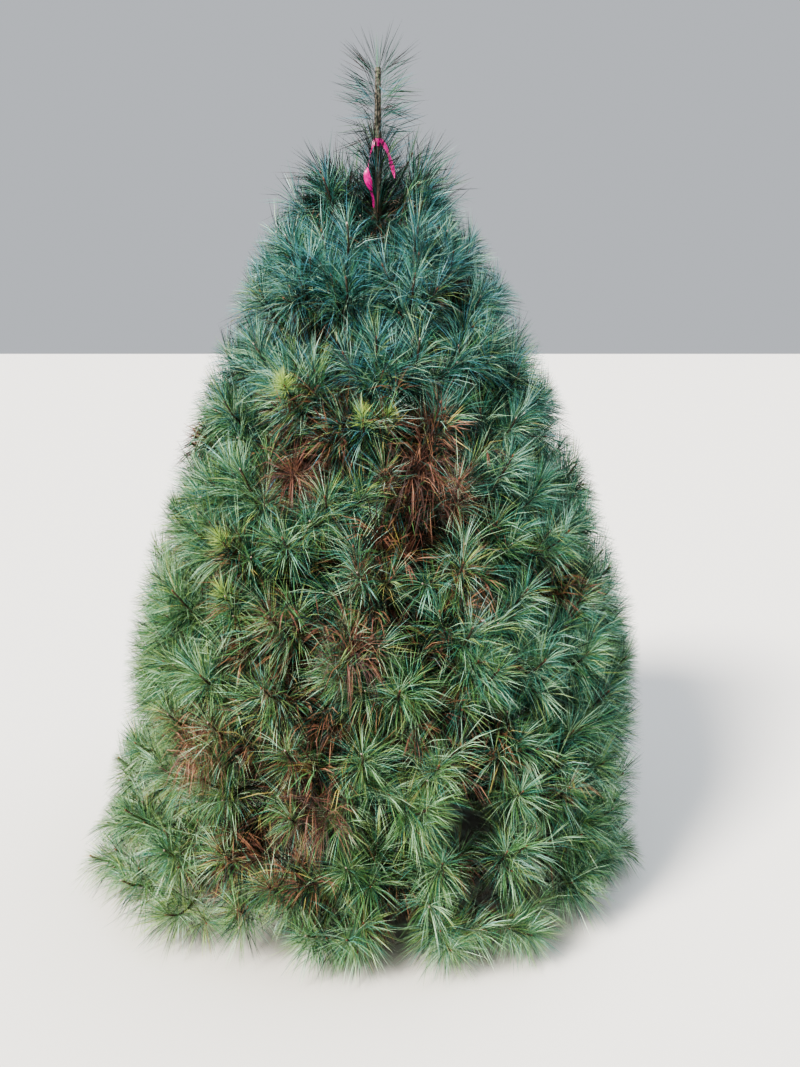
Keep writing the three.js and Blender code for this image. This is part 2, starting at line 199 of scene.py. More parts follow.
pattern = {
    "dark": 0.36,  # value of the noise under which the dark colour is whole
    "light": 0.66,  # and over which the light one is
    "patches": {"Detail": 6, "Roughness": 0.65},
    "ridges": {"Detail": 4},
    "scars": {"Detail": 2},
    "scarShare": 1 / 5,  # size of the young bark's scars, beside the patches
    "bump": 0.5,
}


def patterned(name, dark, light, patch, grain, relief, finish, young=None):
    # Two colours in soft patches, under a grain of its own relief, both sized in millimetres
    material, tree, shader = newMaterial(name, finish)
    place = addNode(tree, "ShaderNodeTexCoord").outputs["Object"]

    def noiseOf(size, settings):
        node = addNode(tree, "ShaderNodeTexNoise", {"Scale": perMetre(size), **settings}, {"Vector": place})
        return node.outputs["Fac"]

    def dyed(value, low, high):
        stops = ((pattern["dark"], low), (pattern["light"], high))
        return addNode(tree, "ShaderNodeValToRGB", {"stops": stops}, {"Fac": value}).outputs["Color"]

    colour = dyed(noiseOf(patch, pattern["patches"]), dark, light)
    if young:  # the last years' growth, from this height to this height in metres, has a colour of its own
        low, high, youngDark, youngLight = young
        youngColour = dyed(noiseOf(patch * pattern["scarShare"], pattern["scars"]), youngDark, youngLight)
        height = addNode(tree, "ShaderNodeSeparateXYZ", links={"Vector": place}).outputs["Z"]
        share = addNode(tree, "ShaderNodeMapRange", {"From Min": low, "From Max": high}, {"Value": height})
        colour = addNode(tree, "ShaderNodeMixRGB", links={
            "Fac": share.outputs["Result"],
            "Color1": colour,
            "Color2": youngColour,
        }).outputs["Color"]
    bump = addNode(tree, "ShaderNodeBump", {"Strength": pattern["bump"], "Distance": relief * metres}, {
        "Height": noiseOf(grain, pattern["ridges"]),
    })
    tree.links.new(colour, shader.inputs["Base Color"])
    tree.links.new(bump.outputs["Normal"], shader.inputs["Normal"])
    return material


crown = {
    "whorls": [  # height on the trunk, rise, number and first direction of the boughs, whether a bough shows
        (125, 5, 5, 212, True),
        (340, 14, 5, 178, True),
        (560, 20, 5, 205, True),
        (810, 27, 5, 228, True),
        (1100, 35, 5, 192, True),
        (1400, 43, 4, 225, False),
        (1680, 54, 3, 170, False),
    ],
    "whorlJitter": 6,
    "leaderCone": (1840, 64),
    "reach": np.array([  # height, and reach to the left, to the right, and to front and back
        (0, 915, 810, 730),
        (120, 840, 770, 750),
        (400, 800, 788, 780),
        (800, 736, 743, 740),
        (1200, 604, 593, 600),
        (1600, 437, 413, 430),
        (1850, 325, 262, 290),
        (2020, 190, 168, 180),
        (2120, 95, 90, 95),
    ], float),
    "widest": 1300,
    "halvings": 26,  # steps of the search for the crown's face
    "lowReaches": (  # direction, spread, added reach at the ground and height where it has faded out
        (214, 26, 115, 420),
        (316, 26, 60, 420),
    ),
    "spaceGap": 3,
    "groundGap": 8,
}
topWhorl = len(crown["whorls"]) - 1
leaderWhorl = topWhorl + 1


def reachAt(z, angle):  # works on numbers and on arrays
    z = np.asarray(z, float)
    rows = crown["reach"]
    low = np.clip(np.searchsorted(rows[:, 0], z) - 1, 0, len(rows) - 2)
    share = (z - rows[low, 0]) / (rows[low + 1, 0] - rows[low, 0])
    left, right, front = [mix(rows[low, column], rows[low + 1, column], share) for column in (1, 2, 3)]
    reach = mix(front, np.where(np.cos(angle) < 0, left, right), np.cos(angle) ** 2)
    for turn, spread, added, height in crown["lowReaches"]:
        off = (np.degrees(angle) - turn + 180) % 360 - 180
        reach = reach + added * np.exp(-((off / spread) ** 2)) * np.clip(1 - z / height, 0, 1)
    return np.maximum(reach, 0)


def onFace(direction, height):
    angle = math.radians(direction)
    reach = float(reachAt(height, angle))
    return np.array([reach * math.cos(angle), reach * math.sin(angle), height])


def coneAt(height, rise):
    return height, math.tan(math.radians(rise)), math.cos(math.radians(rise))


def coneBetween(low, high):
    return coneAt((low[0] + high[0]) / 2, (low[1] + high[1]) / 2)


def lineAt(space, level):
    if level < 0.5:
        first, second, share = space["floor"], space["middle"], level * 2
    else:
        first, second, share = space["middle"], space["roof"], level * 2 - 1
    return mix(first[0], second[0], share), mix(first[1], second[1], share)


def faceDistance(space, level, angle):
    height, slope = lineAt(space, level)
    near, far = 0, crown["widest"]
    for _ in range(crown["halvings"]):
        middle = (near + far) / 2
        if middle < reachAt(height + middle * slope, angle):
            near = middle
        else:
            far = middle
    return near


def pointIn(space, level, angle, share):
    height, slope = lineAt(space, level)
    distance = faceDistance(space, level, angle) * share
    return np.array([distance * math.cos(angle), distance * math.sin(angle), height + distance * slope])


def isInside(space, point, gap):
    distance = math.hypot(point[0], point[1])
    turn = math.atan2(point[1], point[0])
    fromStart = (turn - space["start"]) % fullTurn
    fromEnd = space["width"] - fromStart
    floor, roof = space["floor"], space["roof"]
    return (
        fromEnd > 0
        and distance * math.sin(min(fromStart, math.pi / 2)) > gap
        and distance * math.sin(min(fromEnd, math.pi / 2)) > gap
        and (point[2] - floor[0] - distance * floor[1]) * floor[2] > gap
        and (roof[0] + distance * roof[1] - point[2]) * roof[2] > gap
        and point[2] > crown["groundGap"]
        and distance <= reachAt(point[2], turn)
    )


def spacesOf():  # each bough's own part of the crown, between its neighbours'
    found = []
    whorls = crown["whorls"]
    for place, (height, rise, count, turn, hasBough) in enumerate(whorls):
        draw = seeded(place + 1)
        floor = coneBetween(whorls[place - 1], whorls[place]) if place else coneAt(0, 0)
        roof = coneAt(*crown["leaderCone"])
        if place < topWhorl:
            roof = coneBetween(whorls[place], whorls[place + 1])
        jitters = [(draw() * 2 - 1) * crown["whorlJitter"] for _ in range(count)]
        turns = [turn + index * 360 / count + jitter for index, jitter in enumerate(jitters)]
        for index, middle in enumerate(turns):
            before = turns[index - 1] if index else turns[-1] - 360
            after = turns[index + 1] if index + 1 < count else turns[0] + 360
            start = math.radians((before + middle) / 2)
            found.append({
                "whorl": place,
                "name": f"{place + 1}{'abcde'[index]}",
                "seed": 100 + place * 10 + index,
                "angle": math.radians(middle),
                "start": start,
                "width": math.radians((middle + after) / 2) - start,
                "floor": floor,
                "middle": coneAt(height, rise),
                "roof": roof,
                "hasBough": hasBough,
            })
    return found


spaces = spacesOf()
foliageNodes = [f"foliage_{space['name']}" for space in spaces] + ["foliage_leader"]

# Trunk with bark relief, in place of the faceted one
trunk = {
    "height": 2240,
    "radii": (41, 7.5),
    "fullness": 0.9,
    "lean": -0.004,
    "bends": ((5, 330, 0), (4, 410, 1)),
    "straightFoot": 400,
    "flare": (17, 50, 3, 0.13, 0.7),  # radius, height, lobes, depth and turn of the root flare
    "swelling": (3.5, 22, 0.6),  # radius, height and fading of the rings at the whorls
    "sides": 44,
    "step": 9,
    "relief": (1.1, 0.825),  # depth of the bark's ridges at the foot and at the tip
    "ridges": ((9, 26, 1), (4, 8, 0.5)),  # width, length and share of the long ridges and of the fine ones
    "tipDome": 1.5,
}


def trunkCentre(z):
    grown = min(1, z / trunk["straightFoot"])
    sideways, back = [reach * math.sin(z / length + start) for reach, length, start in trunk["bends"]]
    return np.array([trunk["lean"] * z + sideways * grown, back * grown, z])


def trunkRadius(z):
    share = z / trunk["height"]
    low, high = trunk["radii"]
    flareRadius, flareHeight = trunk["flare"][:2]
    ringRadius, ringHeight, fading = trunk["swelling"]
    rings = sum(math.exp(-(((z - whorl[0]) / ringHeight) ** 2)) for whorl in crown["whorls"])
    taper = mix(low, high, share ** trunk["fullness"])
    return taper + flareRadius * math.exp(-z / flareHeight) + ringRadius * rings * (1 - fading * share)


def onTrunk(height, direction, depth):
    return trunkCentre(height) + directionOf(direction, 0) * trunkRadius(height) * depth


def ridgesAt(x, y, z):
    return sum(
        share * noise.noise(Vector((x / wide, y / wide, z / long)))
        for wide, long, share in trunk["ridges"]
    )


def trunkRing(z):
    _, flareHeight, lobes, lobeDepth, lobeTurn = trunk["flare"]
    turns = np.linspace(0, fullTurn, trunk["sides"], endpoint=False)
    outward = np.stack([np.cos(turns), np.sin(turns)], -1)
    radius = trunkRadius(z) * (1 + lobeDepth * np.cos(lobes * turns + lobeTurn) * math.exp(-z / flareHeight))
    centre = trunkCentre(z)[:2]
    bumps = np.array([ridgesAt(x, y, z) for x, y in centre + outward * radius[:, None]])
    radius = radius + mix(*trunk["relief"], z / trunk["height"]) * bumps
    return np.column_stack([centre + outward * radius[:, None], np.full(len(turns), z)])


heights = np.append(np.arange(0, trunk["height"], trunk["step"]), trunk["height"])
ends = [trunkCentre(0), trunkCentre(trunk["height"]) + up * trunk["tipDome"]]
# Thin rough bark: fine ridges catch the light, and a grey film over brown breaks up the colour.
# On the leader it is smooth and grey-green still, with the scars of old needles.
barkFinish = {"Roughness": 0.85, "IOR": 1.5}
youngBark = (1.8, 2.0, "#2a2925", "#7d756a")
trunkBark = patterned("pine bark", "#2f2621", "#6f6153", 33, 5.5, 1, barkFinish, youngBark)
trunkFaces = ringFaces(len(heights), trunk["sides"])
trunkPiece = newMesh("trunkWithBark", np.concatenate([*map(trunkRing, heights), ends]), trunkFaces, trunkBark)
# Sawn pine: a pale warm end grain, darkened a little by resin
cutWood = patterned("sawn pine wood", "#a0764c", "#c79a6c", 6, 1.5, 0.3, {"Roughness": 0.7, "IOR": 1.5})
trunkPiece.data.materials.append(cutWood)
for face in trunkPiece.data.polygons[-trunk["sides"]:]:  # the cut tip
    face.material_index = 1
print("trunk", dress(trunkPiece, ["trunk"]))

# Boughs, and the stems that go on from them into the needles
bough = {
    "start": 0.03,
    "end": 0.46,
    "radii": (12.5, 12, 11.5, 10.5, 9.5, 8.5, 6.5),
    "taper": 0.52,
    "sag": 14,
    "sides": 10,
    "steps": 22,
    "bark": (0.5, 12),  # depth and width of its bumps
    "stemEnd": 0.8,
    "stemTaper": 0.34,
    "stemSides": 6,
    "stemSteps": 10,
}


def limbPoint(space, share):
    point = pointIn(space, 0.5, space["angle"], share)
    base = trunkCentre(space["middle"][0])
    left = max(0, 1 - share / bough["end"])
    point[2] -= bough["sag"] * math.sin(math.pi * min(1, share / bough["stemEnd"]))
    point[:2] += base[:2] * left
    return point


def limbRadius(space, share):
    thick = bough["radii"][space["whorl"]]
    if share < bough["end"]:
        return mix(thick, thick * bough["taper"], share / bough["end"])
    onward = (share - bough["end"]) / (bough["stemEnd"] - bough["end"])
    return mix(thick * bough["taper"], thick * bough["stemTaper"], onward)


def limbLine(space, start, end, steps):
    shares = np.linspace(start, end, steps)
    line = np.array([limbPoint(space, share) for share in shares])
    return line, [limbRadius(space, share) for share in shares]


boughs = Tubes(bough["sides"])
stems = Tubes(bough["stemSides"])
for space in spaces:
    stemStart = bough["start"]
    if space["hasBough"]:
        boughs.add(*limbLine(space, bough["start"], bough["end"], bough["steps"]), bough["bark"])
        stemStart = bough["end"]
    stems.add(*limbLine(space, stemStart, bough["stemEnd"], bough["stemSteps"]))
# Bark of some years: thinner and browner than the trunk's
boughBark = patterned("bough bark", "#352a26", "#6f6153", 25, 4, 1, barkFinish)
boughNodes = [f"bough_{space['name']}" for space in spaces if space["hasBough"]]
print("boughs", dress(boughs.make("boughsWithBark", boughBark), boughNodes))

# Needles: each shade is a plain colour of its own with its roughness, dealt out bundle by bundle
shades = {
    # frostedHighlight: the pale lines that the needles have, made lighter still as painted highlight
    "frostedHighlight": ("#aad4c6", 0.34),
    # silveryHighlight: the needles' pale lines, made lighter still as painted highlight
    "silveryHighlight": ("#b2d2b0", 0.36),
    "steel": ("#6298a6", 0.36),
    "teal": ("#649c8c", 0.36),
    "blueGreen": ("#3f7868", 0.4),
    "green": ("#66925e", 0.42),
    # deepGreenShade: dark needles, made darker than any needle as painted shade between the lit ones
    "deepGreenShade": ("#122a22", 0.45),
    "grassGreen": ("#96ad72", 0.44),
    "lime": ("#bbd07c", 0.5),
    "yellowed": ("#b0a468", 0.55),
    "orange": ("#967058", 0.6),
    "rust": ("#7a5448", 0.65),
    "dead": ("#4a3834", 0.7),
}
tints = {  # how much of each shade a shoot of that tint has
    "steely": {
        "frostedHighlight": 0.1, "silveryHighlight": 0.06, "steel": 0.32, "teal": 0.06, "blueGreen": 0.16, "deepGreenShade": 0.33,
    },
    "blue": {"frostedHighlight": 0.1, "silveryHighlight": 0.08, "teal": 0.28, "blueGreen": 0.25, "deepGreenShade": 0.31},
    "plain": {
        "silveryHighlight": 0.2, "teal": 0.12, "blueGreen": 0.14, "green": 0.29, "deepGreenShade": 0.24, "grassGreen": 0.06,
    },
    "grassy": {
        "silveryHighlight": 0.16, "grassGreen": 0.3, "green": 0.36, "lime": 0.04, "deepGreenShade": 0.16, "yellowed": 0.02,
    },
    "fresh": {"lime": 0.7, "grassGreen": 0.3},
    "turning": {"orange": 0.3, "rust": 0.5, "dead": 0.2},
    # Old needles inside the crown: most of them in the darkest shade, which is painted shade in there
    "old": {"deepGreenShade": 0.6, "green": 0.15, "yellowed": 0.03, "orange": 0.06, "rust": 0.08, "dead": 0.08},
    "brown": {"deepGreenShade": 0.1, "yellowed": 0.04, "orange": 0.32, "rust": 0.32, "dead": 0.22},
    "dead": {"rust": 0.42, "dead": 0.34, "orange": 0.24},
    "fan": {"dead": 0.52, "rust": 0.38, "orange": 0.1},
    "leader": {"deepGreenShade": 0.56, "blueGreen": 0.22, "green": 0.06, "steel": 0.06, "dead": 0.1},
}
weightsOf = {tint: np.array([parts.get(name, 0) for name in shades]) for tint, parts in tints.items()}
needle = {
    "length": (92, 128),
    "lengthJitter": (0.88, 1.06),
    "width": 1.25,  # nearly twice as wide as in life, so that fewer fill the crown
    "fascicle": 2,  # needles drawn in a bundle
    "splay": 0.08,
    "stray": 9,  # degrees that a bundle strays from its angle
    "turn": 137.5,  # degrees round the shoot from one bundle to the next
    "turnJitter": 0.25,
    "firstTurns": 6.28,  # radians that the first bundles are spread over
    "bundles": 178,  # on each hundred and thirty millimetres of shoot
    "leafyLength": 130,
    "fewest": 3,
    "spread": (82, 24),  # angle from the shoot at the oldest and the youngest bundle
    "closing": 1.3,  # the more, the later along the shoot they close up
    "droop": 0.32,
    "droopJitter": (0.4, 1.5),
    "curl": (0.03, 0.06),
}
sprays = {whorl: [] for whorl in range(leaderWhorl + 1)}


def spray(whorl, path, fromShare, bundles, weights, **changes):
    # One shoot's needles in bundles, each needle a kite of two faces bent in its middle
    style = {**needle, **changes}
    bundles = max(style["fewest"], int(bundles * thinning))
    fascicle = style["fascicle"]
    t = fromShare + (1 - fromShare) * (np.arange(bundles) + chance.random(bundles)) / bundles
    age = (t - fromShare) / max(1e-6, 1 - fromShare)
    base = bezier(path, t)
    along = bezierHeading(path, t)
    side, over = frameAlong(along)
    turn = np.arange(bundles) * math.radians(style["turn"]) + chance.random() * style["firstTurns"]
    turn = turn + chance.normal(0, style["turnJitter"], bundles)
    opening = mix(style["spread"][0], style["spread"][1], age ** style["closing"])
    opening = np.radians(opening + chance.normal(0, style["stray"], bundles))
    around = np.cos(turn)[:, None] * side + np.sin(turn)[:, None] * over
    heading = np.cos(opening)[:, None] * along + np.sin(opening)[:, None] * around
    shade = chance.choice(len(weights), bundles, p=weights / weights.sum()).repeat(fascicle)
    size = chance.uniform(*style["length"], bundles).repeat(fascicle)
    base, heading, around = [np.repeat(values, fascicle, 0) for values in (base, heading, around)]
    count = len(base)
    size = size * chance.uniform(*style["lengthJitter"], count)
    heading = unit(heading + chance.normal(0, style["splay"], (count, 3)))
    level = np.hypot(heading[:, 0], heading[:, 1])
    bend = around * chance.normal(*style["curl"], (count, 1))
    bend[:, 2] -= style["droop"] * level * chance.uniform(*style["droopJitter"], count)
    half = (size * 0.5)[:, None]
    middle = base + heading * half
    tip = middle + unit(heading + bend) * half
    across = unit(np.cross(heading, chance.normal(0, 1, (count, 3)))) * style["width"] / 2
    sprays[whorl].append((np.stack([base, middle - across, middle + across, tip], 1), shade))


tinting = {
    # Share in the crown's middle, what is added to the right and towards the top, chance, least and most:
    # bluer to the right and towards the top, yellower low on the left
    "blue": (0.32, 0.4, 1.5, 0.14, 0.02, 1),
    "grassy": (0.22, -0.26, -0.3, 0.12, 0, 0.8),
    "steely": (-0.208, 0, 2.6, 0.1, 0, 0.9),
    "right": 800,
    "top": 2200,
    "middle": 0.45,
    "leader": (1820, 260, 0.7),  # height where the leader's tint begins, height that it comes in over, most
    "ownShare": 0.5,  # of a side shoot's own tint, beside that of the shoot it stands on
}
browning = {  # inside the crown the old needles turn brown, most of them low down, where the light went first
    "low": 0.66,
    "fading": 1600,
    "jitter": 0.12,
    "range": (0.06, 0.85),
    "inPatches": 1.2,
}


def tintAt(point):
    right = point[0] / tinting["right"]
    high = point[2] / tinting["top"] - tinting["middle"]

    def shareOf(tint):
        share, toRight, upwards, jitter, least, most = tinting[tint]
        return np.clip(share + toRight * right + upwards * high + chance.normal(0, jitter), least, most)

    blue = shareOf("blue")
    grassy = shareOf("grassy")
    steely = shareOf("steely")
    left = max(0, 1 - blue - grassy)
    green = blue * weightsOf["blue"] + grassy * weightsOf["grassy"] + left * weightsOf["plain"]
    start, height, most = tinting["leader"]
    shaded = np.clip((point[2] - start) / height, 0, most)
    return mix(mix(green, weightsOf["steely"], steely), weightsOf["leader"], shaded)


def innerTint(point, dry):
    share = np.clip(browning["low"] - point[2] / browning["fading"] + chance.normal(0, browning["jitter"]),
                    *browning["range"])
    return mix(weightsOf["old"], weightsOf["brown"], max(share, min(1, dry * browning["inPatches"])))


# Patches where needles have died back and the brown inside shows
dryPatches = {
    "seen": (  # direction, height and radius
        (253, 1288, 85), (283, 1248, 130), (235, 991, 55), (268, 1040, 55), (248, 863, 95), (263, 878, 60),
        (242, 801, 75), (229, 590, 85), (261, 669, 70), (243, 602, 60), (281, 659, 60), (256, 508, 85),
        (244, 295, 125), (307, 452, 60), (295, 569, 60), (290, 964, 50),
    ),
    "unseen": 22,
    "directions": (-30, 185),  # of the unseen ones
    "heights": (260, 1300),
    "radii": (55, 100),
    "fading": 36,
}
patches = [(onFace(direction, height), radius) for direction, height, radius in dryPatches["seen"]]
for _ in range(dryPatches["unseen"]):
    place = onFace(chance.uniform(*dryPatches["directions"]), chance.uniform(*dryPatches["heights"]))
    patches.append((place, chance.uniform(*dryPatches["radii"])))


def drynessAt(point):
    return max(
        math.exp(-((np.linalg.norm(point - place) / (radius + dryPatches["fading"])) ** 2))
        for place, radius in patches
    )


# Opening in front of the leader, where the ribbon shows
sight = {
    "left": -44,
    "right": 60,
    "front": -14,
    "floor": 1884,
    "slope": 0.18,
    "needleHeight": 45,  # of the needles over a shoot
    "needleReach": 24,  # and to its front
    "steps": 20,
    "leftOver": 0.14,  # share of the needles that still cross it
}


def hidesRibbon(points):
    points = np.asarray(points)
    across = (points[..., 0] > sight["left"]) & (points[..., 0] < sight["right"])
    over = points[..., 2] > sight["floor"] + sight["slope"] * points[..., 1]
    return across & (points[..., 1] < sight["front"]) & over


def crossesRibbon(path):
    points = bezier(path, np.linspace(0, 1, sight["steps"])) + (0, 0, sight["needleHeight"])
    return (hidesRibbon(points) | hidesRibbon(points - (0, sight["needleReach"], 0))).any()


# The lattice of shoots that the solids carry
lattice = {
    "spacing": 196,
    "jitter": 0.26,
    "margin": 0.06,
    "depth": (58, 100),
    "rise": 17,
    "fan": 16,
    "tilt": 12,
    "yaw": 10,
    "heading": 0.12,
    "coreDepth": 112,
    "coreShare": 0.6,
    "roots": (0.74, 0.53),
}


def leadingShoots(space):  # draw for draw as in the solids
    draw = seeded(space["seed"])

    def stray(most):
        return (draw() * 2 - 1) * most

    foot = pointIn(space, 0, space["angle"], 1)
    head = pointIn(space, 1, space["angle"], 1)
    face = np.linalg.norm(head - foot) - lattice["coreDepth"] * lattice["coreShare"]
    rows = math.ceil(face / lattice["spacing"])
    found = []
    for row in range(rows):
        level = (row + 0.5) / rows
        arc = space["width"] * faceDistance(space, level, space["angle"])
        columns = max(1, math.floor(arc / lattice["spacing"] + 0.5))
        for column in range(columns):
            across = (column + 0.5 + stray(lattice["jitter"])) / columns
            height = level + stray(lattice["jitter"]) / rows
            height = min(max(height, lattice["margin"]), 1 - lattice["margin"])
            depth = mix(*lattice["depth"], draw())
            angle = space["start"] + space["width"] * across
            heading = mix(angle, space["angle"], lattice["heading"]) + math.radians(stray(lattice["yaw"]))
            rise = crown["whorls"][space["whorl"]][1] + lattice["rise"] + (level - 0.5) * lattice["fan"]
            axis = directionOf(heading, math.radians(rise + stray(lattice["tilt"])))
            inward = unit(directionOf(angle, 0) + axis)
            heart = pointIn(space, height, angle, 1) - inward * depth
            root = limbPoint(space, mix(*lattice["roots"], abs(across - 0.5) * 2))
            for _ in range(2):  # the solids draw twice more for each shoot
                draw()
            if isInside(space, heart, crown["spaceGap"]) and isInside(space, root, crown["spaceGap"]):
                found.append((heart, axis, root))
    return found


growth = {
    "tries": 7,  # times that a shoot is shortened before it is left off
    "shortening": 0.84,
    "lowest": 60,
}
leading = {
    "twigRadii": (5.2, 2.6),
    "twigSteps": 8,
    "upturn": (1.3, 1.3, 1.3, 1.2, 1.0, 0.6, 0),  # how far each whorl's last growth bends up
    "bend": (105, 0.45),  # length of that bend at most, and as a share of the twig
    "bendLowest": 32,
    "tipLength": (22, 58),
    "meanTip": 44,
    "node": (100, 175),  # from the tip back to the ring of side shoots
    "nodeShare": 0.8,  # of the whole twig, at most
    "openness": (0.8, 1.1),
    "needleSize": (0.82, 1.08),
    "fullness": (0.75, 1.25),
    "topFullness": 0.7,
    "dryFrom": 0.3,  # dryness from which a shoot has dry needles
    "greenTo": 0.75,  # and up to which it has green ones
    "dryShare": 0.7,
    "dryLook": {"spread": (70, 30), "length": (60, 100), "droop": 0.7},
    "olderLength": 230,  # needles of the years before, further in, turning and thinning
    "olderStart": 0.04,
    "olderBundles": 48,
    "olderLook": {"length": (75, 108), "spread": (84, 56), "droop": 0.5, "width": 1.8},
}
sideShoot = {
    "count": (3, 4),
    "turnJitter": 0.3,
    "angle": (34, 62),
    "length": (90, 160),
    "onward": 0.4,  # how far its end turns the way of the twig
    "upward": 0.7,  # and up, under the top whorl
    "margin": 60,
    "topMargin": 95,
    "radii": (2.5, 1.5),
    "steps": 5,
    "dying": 0.85,  # chance in the middle of a dry patch that it is gone
    "thinning": 0.5,
    "leafyFrom": 0.06,
    "fullness": 0.84,
}
# Three kinds of shoot in the shade, which hold dry needles
innerShoot = {
    "count": 1,  # on each twig
    "onTwig": (0.1, 0.55),
    "outward": 0.6,
    "rise": 0.2,
    "length": (90, 190),
    "margin": 110,
    "radii": (2.6, 1.5),
    "steps": 5,
    "leafyFrom": 0.1,
    "bundles": 56,
    "look": {"length": (80, 110), "spread": (86, 50), "droop": 0.8, "width": 2.4},
}
deadTwig = {
    "count": 10,  # on each bough and its stem
    "onBough": (0.3, 0.82),
    "flatness": 0.8,
    "outward": 0.3,
    "rise": 0.1,
    "length": (140, 270),
    "margin": 130,
    "radii": (3.2, 1.5),
    "steps": 5,
    "leafyFrom": 0.12,
    "bundles": 80,
    "look": {"length": (80, 112), "spread": (86, 40), "droop": 0.7, "width": 2.6},
    "patchReach": 1.3,  # how far out of it a dry patch still browns it
}
trunkTwig = {
    "count": 20,  # at each whorl but the top one
    "heights": (-60, 190),  # from the whorl
    "root": 0.8,
    "tilt": (-20, 30),
    "rise": 0.2,
    "length": (160, 300),
    "margin": 120,
    "radii": (3.4, 1.5),
    "steps": 5,
    "leafyFrom": 0.1,
    "bundles": 84,
    "look": {"length": (80, 112), "spread": (86, 50), "droop": 0.6, "width": 2.8},
    "dryness": 0.3,
}
topShoots = {  # the leader's own ring of shoots, clear of the front
    "count": 9,
    "heights": (1735, 1815),
    "directions": (-40, 200),
    "directionJitter": 6,
    "rise": (36, 56),
    "length": (170, 230),
    "root": 0.8,
    "upward": 0.15,
    "margin": 78,
    "frontDirections": (248, 262, 276, 290, 304),
    "frontHeights": (1695, 1735),
    "tips": (  # shoots that stand out against the sky: where each leaves the trunk, and its tip
        (1836, (-158, -40, 1970)),
        (1842, (-86, 60, 1968)),
        (1846, (122, -24, 1992)),
        (1850, (84, 52, 2036)),
        (1838, (170, 40, 1948)),
        (1848, (10, 96, 1990)),
    ),
    "tipSag": 12,
    "radii": (4.4, 2.2),
    "steps": 8,
    "leaderShare": 0.75,  # of the leader's tint in theirs
    "leafyFrom": 0.35,
    "bundles": 84,
    "look": {"length": (112, 146), "spread": (80, 26), "stray": 13, "droop": 0.06, "width": 1.35},
    "clearing": 112,  # no other shoot ends nearer to the leader than this
    "otherHighest": 1955,  # or higher
}
twigs = Tubes(5)
youngShoots = Tubes(3)
buds = []


def addBud(path):
    buds.append((path[2], bezierHeading(path, [1])[0]))


def grow(origin, heading, rise, size, margin):
    # A curved shoot that turns towards the light and is shortened to stay within the crown
    for _ in range(growth["tries"]):
        control = origin + heading * size * 0.5
        end = control + unit(heading + rise) * size * 0.5
        limit = reachAt(end[2], math.atan2(end[1], end[0])) - margin
        if math.hypot(end[0], end[1]) < limit and end[2] > growth["lowest"]:
            return origin, control, end
        size *= growth["shortening"]
    return None


def addShoot(kind, whorl, path, tint, tubes=youngShoots):
    # The limb along a path, with its needles
    tubes.along(path, kind["steps"], kind["radii"])
    bare = 1 - kind.get("leafyLength", math.inf) / np.linalg.norm(path[2] - path[0])
    spray(whorl, path, max(kind["leafyFrom"], bare), kind["bundles"], tint, **kind["look"])


def growDry(kind, whorl, origin, heading):
    # A shoot in the shade, with the dry needles that hang in it
    path = grow(origin, heading, up * kind["rise"], chance.uniform(*kind["length"]), kind["margin"])
    if path is None or crossesRibbon(path):
        return
    further = kind.get("patchReach", 1)
    dry = kind.get("dryness") or drynessAt(path[2] * (further, further, 1))
    addShoot(kind, whorl, path, innerTint(path[2], dry))


def crowdsLeader(end, low):
    near = math.hypot(end[0], end[1]) < topShoots["clearing"] and end[2] > low
    return near or end[2] > topShoots["otherHighest"]


def growSides(whorl, path, node, axis, twigTint):
    # A ring of side shoots round the node
    firstTurn = chance.random() * fullTurn
    count = int(chance.integers(sideShoot["count"][0], sideShoot["count"][1] + 1))
    origin = bezier(path, [1 - node])[0]
    along = bezierHeading(path, [1 - node])
    side, over = frameAlong(along)
    rise = axis * sideShoot["onward"] + up * sideShoot["upward"] * (whorl < topWhorl)
    margin = sideShoot["topMargin"] if whorl == topWhorl else sideShoot["margin"]
    for index in range(count):
        turn = firstTurn + index * fullTurn / count + chance.normal(0, sideShoot["turnJitter"])
        opening = math.radians(chance.uniform(*sideShoot["angle"]))
        around = math.cos(turn) * side[0] + math.sin(turn) * over[0]
        outward = math.cos(opening) * along[0] + math.sin(opening) * around
        sidePath = grow(origin, outward, rise, chance.uniform(*sideShoot["length"]), margin)
        if sidePath is None or crossesRibbon(sidePath):
            continue
        end = sidePath[2]
        if whorl == topWhorl and crowdsLeader(end, 0):
            continue
        dry = drynessAt(end)
        if chance.random() < dry * sideShoot["dying"]:
            continue
        youngShoots.along(sidePath, sideShoot["steps"], sideShoot["radii"])
        addBud(sidePath)
        tint = tintAt(end)
        if twigTint is not None:
            tint = mix(twigTint, tint, tinting["ownShare"])
        size = np.linalg.norm(end - origin)
        bundles = needle["bundles"] * sideShoot["fullness"] * size / needle["leafyLength"]
        spray(whorl, sidePath, sideShoot["leafyFrom"], bundles * (1 - sideShoot["thinning"] * dry), tint)


def growTip(whorl, path, node, length, dry, tint):
    # The last year's needles of a leading shoot, green or dry
    bundles = needle["bundles"] * node * length / needle["leafyLength"]
    openness = chance.uniform(*leading["openness"])
    needleSize = chance.uniform(*leading["needleSize"])
    look = {
        "spread": [angle * openness for angle in needle["spread"]],
        "length": [most * needleSize for most in needle["length"]],
    }
    bundles *= chance.uniform(*leading["fullness"]) * (leading["topFullness"] if whorl == topWhorl else 1)
    if dry < leading["greenTo"]:
        spray(whorl, path, 1 - node, bundles * (1 - leading["dryShare"] * dry), tint, **look)
        addBud(path)
    if dry > leading["dryFrom"]:
        dryBundles = bundles * dry * leading["dryShare"]
        spray(whorl, path, 1 - node, dryBundles, weightsOf["dead"], **leading["dryLook"])


